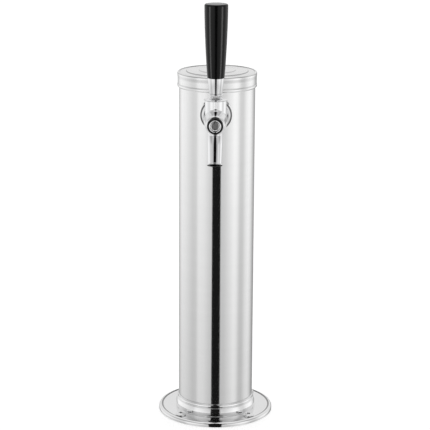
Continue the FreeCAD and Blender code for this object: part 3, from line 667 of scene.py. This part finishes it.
def brass():
    """Turned brass insert."""
    finish = started("turned_brass")
    at = (0, LEVER_Y, 0.36)
    rings = finish.noise(finish.place((60, 60, 2500), at), 1.0, 2, 0.5)
    marks = wiping_marks(finish, at)
    tone = finish.blend(marks, (0.78, 0.57, 0.25), (0.55, 0.38, 0.17))
    return finish.surface(
        Base_Color=tone,
        Metallic=1.0,
        Roughness=0.24 + rings * 0.1 + marks * 0.08,
        Normal=finish.bump(rings, 0.3, 0.00005),
    )


# Shapes


def outline(points, closed):
    """Flat wire of (radius, height) points in millimetres.

    A third number rounds a corner by that radius; a fourth sets the steps of the arc.
    """
    wire = bmesh.new()
    spots = [Vector((point[0], 0, point[1])) for point in points]
    corners = [wire.verts.new(spot) for spot in spots]
    count = len(corners)
    for index in range(count if closed else count - 1):
        wire.edges.new((corners[index], corners[(index + 1) % count]))
    for index, point in enumerate(points):
        if len(point) < 3:
            continue
        back = spots[index - 1] - spots[index]
        ahead = spots[(index + 1) % count] - spots[index]
        reach = point[2] / math.tan(back.angle(ahead) / 2)
        bmesh.ops.bevel(
            wire,
            geom=[corners[index]],
            offset=reach,
            offset_type="OFFSET",
            segments=point[3] if len(point) > 3 else 5,
            profile=0.5,
            affect="VERTICES",
            material=-1,
        )
    return wire


def lathed(points, steps=ROUND_STEPS, closed=False):
    """Body turned about Z from an outline; an open outline starts and ends on the axis."""
    body = outline(points, closed)
    bmesh.ops.spin(
        body,
        geom=body.verts[:] + body.edges[:],
        cent=(0, 0, 0),
        axis=(0, 0, 1),
        dvec=(0, 0, 0),
        angle=2 * math.pi,
        steps=steps,
        use_merge=True,
        use_duplicate=False,
    )
    bmesh.ops.remove_doubles(body, verts=body.verts[:], dist=SAME_POINT)
    bmesh.ops.recalc_face_normals(body, faces=body.faces[:])
    return body


def ring(points, steps=ROUND_STEPS):
    """Hollow body turned about Z from a closed outline."""
    return lathed(points, steps, closed=True)


def block(width, length, low, high, at=(0, 0)):
    """Upright bar in millimetres, centred on a point."""
    bar = bmesh.new()
    bmesh.ops.create_cube(bar, size=1)
    bmesh.ops.scale(bar, vec=(width, length, high - low), verts=bar.verts[:])
    bmesh.ops.translate(bar, vec=(at[0], at[1], (low + high) / 2), verts=bar.verts[:])
    return bar


def turn_about(body, degrees, axis="Z"):
    """Turn a body about an axis through the origin."""
    spin = Matrix.Rotation(math.radians(degrees), 3, axis)
    bmesh.ops.rotate(body, cent=(0, 0, 0), matrix=spin, verts=body.verts[:])
    return body


def shift(body, x, y, z):
    """Move a body, in millimetres."""
    bmesh.ops.translate(body, vec=(x, y, z), verts=body.verts[:])
    return body


def along_shank(body):
    """Turn a body built upright so that its Z runs forward along the shank's axis."""
    return shift(turn_about(body, 90, "X"), 0, 0, height_of("coupling_nut") / MILLIMETRE)


def at_lever(body):
    """Move a body built on the Z axis to the lever's axis."""
    low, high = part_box("bonnet")
    return shift(body, 0, (low.y + high.y) / 2 / MILLIMETRE, 0)


def as_object(body, name):
    """A body made an object, and freed."""
    mesh = bpy.data.meshes.new(name)
    body.to_mesh(mesh)
    body.free()
    thing = bpy.data.objects.new(name, mesh)
    bpy.context.scene.collection.objects.link(thing)
    return thing


def carved(blank, tool):
    """A body with a tool's shape cut out of it."""
    whole = as_object(blank, "blank")
    cutter = as_object(tool, "cutter")
    cut = whole.modifiers.new("cut", "BOOLEAN")
    cut.operation = "DIFFERENCE"
    cut.solver = "EXACT"
    cut.object = cutter
    bpy.context.view_layer.update()
    done = whole.evaluated_get(bpy.context.evaluated_depsgraph_get())
    body = bmesh.new()
    body.from_mesh(done.data)
    for thing in (whole, cutter):
        mesh = thing.data
        bpy.data.objects.remove(thing)
        bpy.data.meshes.remove(mesh)
    if not body.faces:
        raise RuntimeError("a cut left nothing of its piece")
    return body


def shown(body, name, material, nodes):
    """A finished piece in metres that stands for its CAD nodes and rides as they do."""
    bmesh.ops.scale(body, vec=(MILLIMETRE,) * 3, verts=body.verts[:])
    for face in body.faces:
        face.smooth = True
    for edge in body.edges:
        if len(edge.link_faces) == 2:
            edge.smooth = edge.calc_face_angle(0) < math.radians(SHARP_BEND)
    piece = as_object(body, name)
    piece.data.materials.append(material)
    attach(piece, frame["nodes"][nodes[0]]["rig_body"])
    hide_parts(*nodes)
    return piece


def clad(node, material):
    """A better material on a CAD node that keeps its own shape."""
    mesh = frame["nodes"][node].data
    for index in range(len(mesh.materials)):
        mesh.materials[index] = material


def lit_by(name, thing):
    """Let the lights of a collection reach a piece."""
    bpy.data.collections[name].objects.link(thing)


# Pieces


class TOWER_OT_column(bpy.types.Operator):
    """Make the brushed column, with the shank's hole, and the foam inside it"""

    bl_idname = "tower.column"
    bl_label = "Column"

    def execute(self, context):
        outer = sizes().column / MILLIMETRE
        low, high = (corner.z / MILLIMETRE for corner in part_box("column_tube"))
        inner = outer - TUBE_WALL
        wall = ring([(inner, low), (outer, low), (outer, high), (inner, high)])
        drill = lathed([(0, 20), (SHANK_HOLE, 20), (SHANK_HOLE, 60), (0, 60)], SMALL_STEPS)
        tube = carved(wall, along_shank(drill))
        shown(tube, "column", brushed_steel(), ["column_tube"])
        clad("insulation_sleeve", foam())
        return {"FINISHED"}


class TOWER_OT_cap(bpy.types.Operator):
    """Make the cap: hemmed skirt, waist, rounded edge and two raised discs"""

    bl_idname = "tower.cap"
    bl_label = "Cap"

    def execute(self, context):
        proud = sizes().cap / MILLIMETRE
        body = lathed([
            (0, 354.9),
            (SLIP_BORE, 354.9),
            (38.15, 341.05),
            (38.85, 341.05),
            (proud, 341.95, 0.6),
            (proud, 343.8, 0.5),
            (proud - 0.5, 344.4, 0.3),
            (proud - 0.35, 345.2, 0.6),
            (proud - 0.35, 350.4, 12.0, 8),
            (proud, 353.4, 6.0, 8),
            (proud, 356.6, 1.85, 12),
            (proud - 2.1, 356.6, 0.4),
            (proud - 2.3, 355.95, 0.2),
            (31.25, 356.3, 0.8),
            (30.45, 357.1, 0.6),
            (18.65, 357.1, 0.8),
            (17.85, 357.85, 0.6),
            (0, 357.85),
        ])
        rim = sizes().cap
        # Painted shade lines at the discs' steps, inside the rim's bead, below the top's rounded
        # edge and at the hem
        painted_shade_lines = (
            ("radius", 0.0309, 0.0005, 0.62),
            ("radius", 0.0182, 0.0005, 0.3),
            ("radius", rim - 0.0024, 0.0004, 0.55),
            ("height", 0.3554, 0.0004, 0.4),
            ("height", 0.3444, 0.0003, 0.1),
        )
        steel = brushed_steel("brushed_cap", painted_shade_lines)
        shown(body, "cap", steel, ["top_cap"])
        return {"FINISHED"}


class TOWER_OT_base(bpy.types.Operator):
    """Make the polished base plate, its collar and the gasket's rubber"""

    bl_idname = "tower.base"
    bl_label = "Base"

    def execute(self, context):
        rim = sizes().flange / MILLIMETRE
        # A painted shade line runs round the plate at the foot of its rim
        rim_foot = sizes().flange - 3.5 * MILLIMETRE
        steel = polished_steel("polished_plate", ((rim_foot, 0.0014, 0.8),))
        plate = ring([
            (32, 0),
            (34.2, 0),
            (34.2, 2.1),
            (rim - 2.8, 2.1, 0.8),
            (rim - 2.2, 0),
            (rim, 0, 0.4),
            (rim, 4.8, 2.6, 9),
            (rim - 3, 4.8, 0.3),
            (rim - 3, 4.3),
            (32, 4.3),
        ])
        for x, y in screw_places():
            drill = lathed([(0, -2), (SCREW_HOLE, -2), (SCREW_HOLE, 8), (0, 8)], 48)
            plate = carved(plate, shift(drill, x, y, 0))
        shown(plate, "base_plate", steel, ["base_flange"])
        collar = ring([
            (SLIP_BORE, 4.3),
            (40.9, 4.3),
            (41.2, 4.9, 0.3),
            (41.2, 8.6, 1.5, 6),
            (40.0, 12.9, 0.5),
            (39.1, 13.2, 0.2),
            (39.5, 13.8, 0.4),
            (39.0, 14.5, 0.4),
            (38.85, 15.8, 0.5),
            (39.25, 16.6, 0.4),
            (38.6, 17.4, 0.3),
            (SLIP_BORE, 17.4),
        ])
        bright = polished_steel("polished_collar")
        shown(collar, "base_collar", bright, ["foot_collar"])
        clad("base_gasket", moulded("gasket_rubber", (0.018, 0.018, 0.018), 0.62))
        return {"FINISHED"}


def screw_places():
    """Centres of the four mounting screws, in millimetres, from the frame."""
    reach = half_width("mounting_screws") / MILLIMETRE - SCREW_HEAD
    return [(reach, reach), (-reach, reach), (-reach, -reach), (reach, -reach)]


class TOWER_OT_screws(bpy.types.Operator):
    """Make the four pan-head screws, each turned a little differently"""

    bl_idname = "tower.screws"
    bl_label = "Screws"

    def execute(self, context):
        metal = screw_steel()
        every = bmesh.new()
        for index, (x, y) in enumerate(screw_places()):
            body = lathed([
                (0, 0.6),
                (1.6, 0.6),
                (2.4, 1.4),
                (2.4, 4.3),
                (5.0, 4.3),
                (SCREW_HEAD, 4.65, 0.15),
                (SCREW_HEAD, 5.35, 0.55, 6),
                (2.95, 6.6, 1.2, 8),
                (0, 6.6),
            ], 64)
            for turn in (0, 90):
                arm = block(5.6, sizes().screw_cross / MILLIMETRE, 5.1, 7.6)
                floor = [vert for vert in arm.verts if vert.co.z < 6]
                bmesh.ops.scale(arm, vec=(0.35, 0.55, 1), verts=floor)
                body = carved(body, turn_about(arm, turn))
            turn_about(body, 20 + 37 * index)
            shift(body, x, y, 0)
            copy = bpy.data.meshes.new("screw")
            body.to_mesh(copy)
            body.free()
            every.from_mesh(copy)
            bpy.data.meshes.remove(copy)
        shown(every, "screws", metal, ["mounting_screws"])
        return {"FINISHED"}


class TOWER_OT_shank(bpy.types.Operator):
    """Finish the shank, its saddles, nuts, washers and elbow through the column's wall"""

    bl_idname = "tower.shank"
    bl_label = "Shank"

    def execute(self, context):
        at = (0, -0.03, height_of("coupling_nut"))
        clad("shank_body", turned_steel("shank_thread", "Y", at, 0.0018))
        clad("outer_saddle", turned_steel("saddle_steel", "Y", at, bright=1.3))
        plain = turned_steel("turned_nuts", "Y", at)
        for node in ("shank_jam_nut", "tail_nut", "tail_elbow"):
            clad(node, plain)
        clad("inner_saddle", moulded("saddle_plastic", finishes().guide, 0.4, at=at))
        rubber = moulded("washer_rubber", (0.02, 0.02, 0.02), 0.6, at=at)
        for node in ("tail_washer", "tap_gasket"):
            clad(node, rubber)
        return {"FINISHED"}


class TOWER_OT_coupling(bpy.types.Operator):
    """Make the round coupling nut with its four spanner slots"""

    bl_idname = "tower.coupling"
    bl_label = "Coupling nut"

    def execute(self, context):
        outer = sizes().coupling / MILLIMETRE
        body = ring([
            (11.5, 42.15),
            (outer, 42.15, 0.4),
            (outer, 53.4, 0.9, 7),
            (11.8, 54.2, 0.25),
            (11.8, 53.6),
            (9.75, 53.6),
            (9.75, 52.0),
            (11.5, 52.0),
        ], SMALL_STEPS * 2)
        for index in range(4):
            middle = outer - NOTCH_DEPTH + NOTCH_BAR / 2
            notch = block(4.0, NOTCH_BAR, 41.15, 50.2, (0, middle))
            body = carved(body, turn_about(notch, 45 + 90 * index))
        body = along_shank(body)
        at = (0, -0.048, height_of("coupling_nut"))
        # The edge paints a dark line of shade round the nut's outer rim at its front
        bright = chrome_plate("coupling_chrome", at, edge=(0.0145, -0.0534))
        shown(body, "coupling", bright, ["coupling_nut"])
        return {"FINISHED"}


class TOWER_OT_tap(bpy.types.Operator):
    """Finish the tap's casting and make the guide and the bright sleeve at its front"""

    bl_idname = "tower.tap"
    bl_label = "Tap"

    def execute(self, context):
        at = (0, -0.085, height_of("coupling_nut"))
        heading = (0, -math.sin(SPOUT_LEAN), -math.cos(SPOUT_LEAN))
        clad("tap_body", chrome_plate("tap_chrome", at, (SPOUT_MOUTH, heading)))
        lit_by("boss_lit", frame["nodes"]["tap_body"])
        guide = ring([
            (5.95, 99.5),
            (7.05, 99.5),
            (7.05, 106),
            (7.7, 106),
            (7.7, 108.4, 0.7, 7),
            (5.95, 108.4, 0.4),
        ])
        black = moulded("guide_plastic", finishes().guide, 0.28, 1200, 0.00003, at)
        shown(along_shank(guide), "guide", black, ["nose_guide"])
        sleeve = ring([
            (3.55, 94.1),
            (5.9, 94.1, 0.4),
            (5.9, 109.8, 1.3, 10),
            (4.2, 109.8, 0.5),
            (3.55, 109.2),
        ])
        bright = chrome_plate("sleeve_chrome", at)
        shown(along_shank(sleeve), "sleeve", bright, ["nose_sleeve"])
        clad("shaft", turned_steel("shaft_steel", "Y", at))
        clad("washer_retainer", turned_steel("retainer_steel", "Y", at))
        clad("seat_washer", moulded("seat_rubber", (0.02, 0.02, 0.02), 0.6, at=at))
        return {"FINISHED"}


class TOWER_OT_lever(bpy.types.Operator):
    """Make the bonnet, the collar and the lever's finishes"""

    bl_idname = "tower.lever"
    bl_label = "Lever and bonnet"

    def execute(self, context):
        outer = sizes().bonnet / MILLIMETRE
        at = (0, LEVER_Y, 0.342)
        # A painted shade line at the foot of the bonnet's rim
        chrome = chrome_plate("bonnet_chrome", at, foot=0.3414)
        bonnet = ring([
            (7.1, 337.7),
            (8.5, 337.7),
            (8.5, 341.3),
            (outer, 341.3, 0.3),
            (outer, 341.9, 0.5),
            (outer - 2.5, 342.85, 3.0, 8),
            (6.8, 343.45, 0.3),
            (5.175, 341.6),
            (7.1, 341.6),
        ])
        cover = shown(at_lever(bonnet), "bonnet_cover", chrome, ["bonnet"])
        lit_by("bonnet_lit", cover)
        collar = ring([
            (4.8, 346.1),
            (7.1, 346.1, 0.2),
            (7.6, 347.0, 0.6),
            (7.1, 347.9, 0.2),
            (4.8, 347.9),
        ], SMALL_STEPS)
        nut = shown(at_lever(collar), "collar_nut", chrome, ["lever_collar"])
        lit_by("boss_lit", nut)
        # bright=1.45 is painted light: the lever's colour lifted against the shade in the
        # bonnet's recess
        steel = turned_steel("lever_steel", "Z", (0, LEVER_Y, 0.338), bright=1.45, dull=0.65)
        clad("lever", steel)
        lit_by("boss_lit", frame["nodes"]["lever"])
        clad("ball_cup", moulded("cup_rubber", (0.02, 0.02, 0.02), 0.6, at=at))
        clad("friction_ring", moulded("ring_plastic", (0.78, 0.78, 0.75), 0.4, at=at))
        return {"FINISHED"}


class TOWER_OT_handle(bpy.types.Operator):
    """Make the gloss black grip, its bright ferrule and the brass insert's finish"""

    bl_idname = "tower.handle"
    bl_label = "Handle"

    def execute(self, context):
        top = sizes().grip / MILLIMETRE
        grip = lathed([
            (0, 375.9),
            (5.55, 375.9),
            (5.55, 362.9),
            (8.25, 362.9, 0.15, 2),
            (11.15, 397.35, 855.0, 24),
            (top, 433.3, 1.5, 9),
            (0, 433.3),
        ])
        black = shown(at_lever(grip), "grip", gloss_black(), ["handle_grip"])
        lit_by("handle_lit", black)
        ferrule = ring([
            (5.55, 347.9),
            (6.25, 347.9, 0.3),
            (7.95, 362.9, 0.3),
            (5.55, 362.9),
        ])
        bright = chrome_plate("ferrule_chrome", (0, LEVER_Y, 0.355))
        shown(at_lever(ferrule), "ferrule", bright, ["handle_ferrule"])
        clad("handle_insert", brass())
        return {"FINISHED"}


# Stage


# Brightness of the screens by direction: degrees from the front, more to the camera's right
SCREENS = (
    (-180, 0.40),
    (-152, 0.68),
    (-140, 0.92),
    (-131, 1.02),
    (-112, 1.0),
    (-96, 0.91),
    (-76, 0.77),
    (-64, 0.80),
    (-59, 0.95),
    (-52, 1.03),
    (-38, 0.99),
    (-27, 0.88),
    (-16, 0.77),
    (14, 0.73),
    (28, 0.79),
    (44, 0.98),
    (57, 1.12),
    (66, 1.06),
    (78, 0.76),
    (88, 0.745),
    (103, 1.0),
    (117, 1.09),
    (130, 0.95),
    (142, 0.66),
    (158, 0.36),
    (180, 0.40),
)
# Brightness of the screens by the sine of the height over the horizon
HEIGHTS = (
    (-1.0, 0.85),
    (-0.5, 0.74),
    (-0.36, 0.7),
    (-0.28, 0.85),
    (-0.19, 0.99),
    (0.08, 1.0),
    (0.28, 0.82),
    (0.42, 0.52),
    (0.7, 0.54),
    (0.84, 0.66),
    (0.93, 1.02),
    (1.0, 1.15),
)

# A colour ramp holds levels up to 1, so both lists are divided by this and multiplied back
BRIGHTEST = 1.2
# Level of the screens behind the tower, over the horizon
REAR_LEVEL = 0.8
# The dark gap in front: direction and width in degrees, extra width high up, and depth
GAP_AT = 0.7
GAP_WIDTH = 25.4
GAP_WIDENING = 24
GAP_DEPTH = 0.985
# Glow that brings the floor up to white in the camera's view
FLOOR_GLOW = 0.48
# Radius of the floor, in millimetres
FLOOR_RADIUS = 6000
# Distance of each light from the piece that it lights, in metres
LIGHT_REACH = 0.9
# The handle's lights: degrees to the side, size and height in metres
STREAK_SIDES = (-65, 63)
STREAK_SIZE = (0.26, 0.36)
STREAK_HEIGHT = 0.2
# The tap's lights: collection, degrees over the horizon, and size in metres
TAP_LIGHTS = (
    ("boss_lit", -12, (0.46, 0.12)),
    ("bonnet_lit", 38, (0.7, 0.55)),
)
TAP_FRONT = Vector((0, -0.087, 0.336))
# The camera's angle to the side of the column, its turn off the column and its roll
CAMERA_SIDE = math.radians(0.93)
CAMERA_TURN = math.radians(0.05)
CAMERA_ROLL = math.radians(0.33)


def surround(level):
    """World of pale screens with a dark gap by direction, plain white to the camera."""
    finish = Finish(bpy.context.scene.world)
    towards = finish.node("ShaderNodeTexCoord", out="Generated")
    east, north, rise = (finish.part(towards, axis) for axis in "XYZ")
    turn = finish.node("ShaderNodeMath", {"operation": "ARCTAN2"}, {0: east, 1: north * -1.0})
    degrees = turn * (180 / math.pi)
    around = [(angle / 360 + 0.5, bright / BRIGHTEST) for angle, bright in SCREENS]
    upward = [(height / 2 + 0.5, bright / BRIGHTEST) for height, bright in HEIGHTS]
    screens = finish.node("ShaderNodeValToRGB", {"stops": around}, {"Fac": degrees / 360 + 0.5})
    falling = finish.node("ShaderNodeValToRGB", {"stops": upward}, {"Fac": rise * 0.5 + 0.5})
    front = screens * falling * (BRIGHTEST * BRIGHTEST)
    behind = finish.spread(abs(degrees), 100, 122) * finish.spread(rise, -0.02, 0.06)
    pattern = front * (1 - behind) + behind * REAR_LEVEL
    wider = finish.spread(rise, 0.38, 0.42) * finish.spread(rise, 0.78, 0.82, 1.0, 0.0)
    gap = finish.line(degrees, GAP_AT, wider * GAP_WIDENING + GAP_WIDTH, 1.0)
    gap = gap * finish.spread(rise, 0.93, 0.97, 1.0, 0.0)
    pattern = pattern * (1 - gap * GAP_DEPTH)
    lit = finish.node("ShaderNodeBackground", inputs={"Color": pattern, "Strength": level})
    white = finish.node(
        "ShaderNodeBackground", inputs={"Color": (1, 1, 1, 1), "Strength": 1.0}
    )
    seen = finish.node("ShaderNodeLightPath", out="Is Camera Ray")
    both = finish.node("ShaderNodeMixShader", inputs={0: seen, 1: lit, 2: white})
    finish.node("ShaderNodeOutputWorld", inputs={"Surface": both})


def studio_floor(colour):
    """Pale floor that reads white to the camera and still takes the object's shadow."""
    finish = started("studio_floor")
    cloud = finish.noise(finish.place(), 3, 2, 0.5)
    tone = finish.blend(cloud, darker(colour, 0.98), colour)
    matt = finish.node("ShaderNodeBsdfDiffuse", inputs={"Color": tone})
    seen = finish.node("ShaderNodeLightPath", out="Is Camera Ray")
    glow = finish.node(
        "ShaderNodeEmission", inputs={"Color": (1, 1, 1, 1), "Strength": seen * FLOOR_GLOW}
    )
    both = finish.node("ShaderNodeAddShader", inputs={0: matt, 1: glow})
    finish.node("ShaderNodeOutputMaterial", inputs={"Surface": both})
    return finish.owner


class TOWER_OT_stage(bpy.types.Operator):
    """Lay the floor, set the studio's surround and place the camera"""

    bl_idname = "tower.stage"
    bl_label = "Stage"

    def execute(self, context):
        scene = context.scene
        stage = scene.tower_stage
        if scene.world is None:
            scene.world = bpy.data.worlds.new("studio")
        surround(stage.light)
        ground = bmesh.new()
        bmesh.ops.create_circle(ground, cap_ends=True, radius=FLOOR_RADIUS, segments=SMALL_STEPS)
        bmesh.ops.scale(ground, vec=(MILLIMETRE,) * 3, verts=ground.verts[:])
        floor = as_object(ground, "studio_floor")
        floor.data.materials.append(studio_floor(stage.floor))
        floor.visible_glossy = False
        place_camera(scene, stage)
        handle_lights(scene, stage)
        tap_lights(scene, stage)
        scene.view_settings.view_transform = "Standard"
        return {"FINISHED"}


def piece_light(scene, name, target, where, size, energy):
    """A soft light that only reaches the pieces in the collection of its name."""
    if name not in bpy.data.collections:
        bpy.data.collections.new(name)
    lamp = bpy.data.lights.new(name, "AREA")
    lamp.shape = "RECTANGLE"
    lamp.size, lamp.size_y = size
    lamp.energy = energy
    light = bpy.data.objects.new(name, lamp)
    scene.collection.objects.link(light)
    aim = (target - where).to_track_quat("-Z", "Y").to_matrix().to_4x4()
    light.matrix_world = Matrix.Translation(where) @ aim
    light.visible_camera = False
    light.light_linking.receiver_collection = bpy.data.collections[name]


def handle_lights(scene, stage):
    """Two tall soft lights for the handle alone, which gives its gloss two upright streaks."""
    low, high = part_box("handle_grip")
    middle = (low + high) / 2
    for side in STREAK_SIDES:
        around = math.radians(side)
        where = middle + Vector((math.sin(around), -math.cos(around), 0)) * LIGHT_REACH
        where.z = STREAK_HEIGHT
        piece_light(scene, "handle_lit", middle, where, STREAK_SIZE, stage.streaks)


def tap_lights(scene, stage):
    """Lights that fill the gap's reflection on the tap's upright front and the bonnet's slope."""
    for name, rise, size in TAP_LIGHTS:
        up = math.radians(rise)
        where = TAP_FRONT + Vector((0, -math.cos(up), math.sin(up))) * LIGHT_REACH
        energy = math.pi * size[0] * size[1] * stage.fill
        piece_light(scene, name, TAP_FRONT, where, size, energy)


def place_camera(scene, stage):
    """The camera at the photograph's viewing angle."""
    lens = bpy.data.cameras.new("camera")
    lens.lens = stage.lens
    lens.sensor_width = 36
    lens.clip_end = 20
    camera = bpy.data.objects.new("camera", lens)
    scene.collection.objects.link(camera)
    where = Vector((math.sin(CAMERA_SIDE), -math.cos(CAMERA_SIDE), 0)) * stage.distance
    where.z = stage.height
    facing = Matrix.Rotation(CAMERA_SIDE + CAMERA_TURN, 4, "Z")
    tilt = Matrix.Rotation(math.pi / 2 - stage.pitch, 4, "X")
    roll = Matrix.Rotation(CAMERA_ROLL, 4, "Z")
    camera.matrix_world = Matrix.Translation(where) @ facing @ tilt @ roll
    scene.camera = camera


class TOWER_PT_panel(bpy.types.Panel):
    """Lists the pieces of the tower"""

    bl_idname = "TOWER_PT_panel"
    bl_label = "Beer tower"
    bl_space_type = "VIEW_3D"
    bl_region_type = "UI"
    bl_category = "Beer tower"

    def draw(self, context):
        for step in STEPS:
            self.layout.operator(step.bl_idname)


STEPS = (
    TOWER_OT_stage,
    TOWER_OT_column,
    TOWER_OT_cap,
    TOWER_OT_base,
    TOWER_OT_screws,
    TOWER_OT_shank,
    TOWER_OT_coupling,
    TOWER_OT_tap,
    TOWER_OT_lever,
    TOWER_OT_handle,
)
CLASSES = (TowerSizes, TowerFinishes, TowerStage, *STEPS, TOWER_PT_panel)


def register():
    for kind in CLASSES:
        bpy.utils.register_class(kind)
    bpy.types.Scene.tower_sizes = bpy.props.PointerProperty(type=TowerSizes)
    bpy.types.Scene.tower_finishes = bpy.props.PointerProperty(type=TowerFinishes)
    bpy.types.Scene.tower_stage = bpy.props.PointerProperty(type=TowerStage)


def unregister():
    del bpy.types.Scene.tower_stage
    del bpy.types.Scene.tower_finishes
    del bpy.types.Scene.tower_sizes
    for kind in reversed(CLASSES):
        bpy.utils.unregister_class(kind)


def main():
    register()
    for step in STEPS:
        group, action = step.bl_idname.split(".")
        getattr(getattr(bpy.ops, group), action)()


if __name__ == "__main__":
    main()
